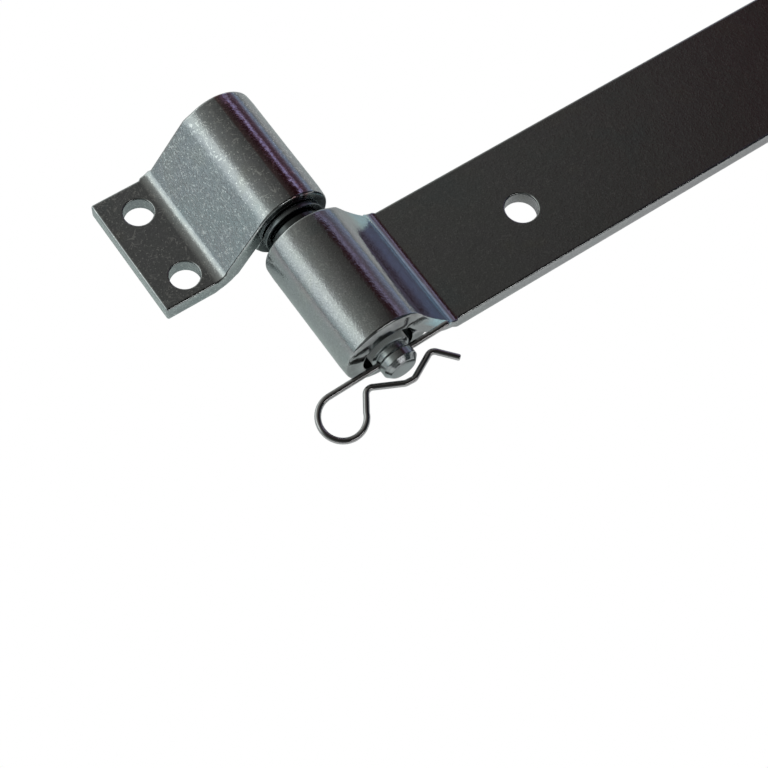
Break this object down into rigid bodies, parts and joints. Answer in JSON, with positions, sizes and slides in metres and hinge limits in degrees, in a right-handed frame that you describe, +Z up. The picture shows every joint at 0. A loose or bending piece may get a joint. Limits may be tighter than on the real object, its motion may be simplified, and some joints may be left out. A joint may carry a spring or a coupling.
{
  "type": "strap hinge",
  "caption": "Strap hinge: a long flat steel strap and a short bracket with rolled knuckles turn on a stepped pin held by a spring clip.",
  "frame": {"origin": "on the underside of the bracket's flange, midway between its two bolt holes", "axes": "+X along the strap from the pin to its far end, +Y along the pin from its clip end to its welded end, +Z up out of the face the bracket is bolted to"},
  "size_m": [0.32, 0.1039, 0.0276],
  "materials": {
    "zinc_plated_bar": "zinc plated with a faint blue and violet passivation",
    "zinc_plated_strap": "zinc plated with a faint blue and violet passivation",
    "zinc_plated_pin": "turned and zinc plated",
    "zinc_plated_washer": "zinc plated",
    "weld_metal": "weld bead under zinc plating",
    "bright_spring_wire": "bright plated spring wire"
  },
  "bodies": {
    "bracket": {"bracket_leaf": "zinc_plated_bar", "hinge_pin": "zinc_plated_pin", "thrust_washer": "zinc_plated_washer", "pin_weld": "weld_metal"},
    "strap": {"strap_leaf": "zinc_plated_strap"},
    "clip": {"r_clip": "bright_spring_wire"}
  },
  "joints": [
    {"name": "strap_turn", "type": "hinge", "parent": "bracket", "child": "strap", "pos_m": [0.03, -0.045, 0.0146], "axis": [0, 1, 0], "continuous": true},
    {"name": "clip_swing", "type": "hinge", "parent": "bracket", "child": "clip", "pos_m": [0.03, -0.0677, 0.0146], "axis": [0.9986, 0, 0.0523], "range_deg": [-105, 81]}
  ]
}
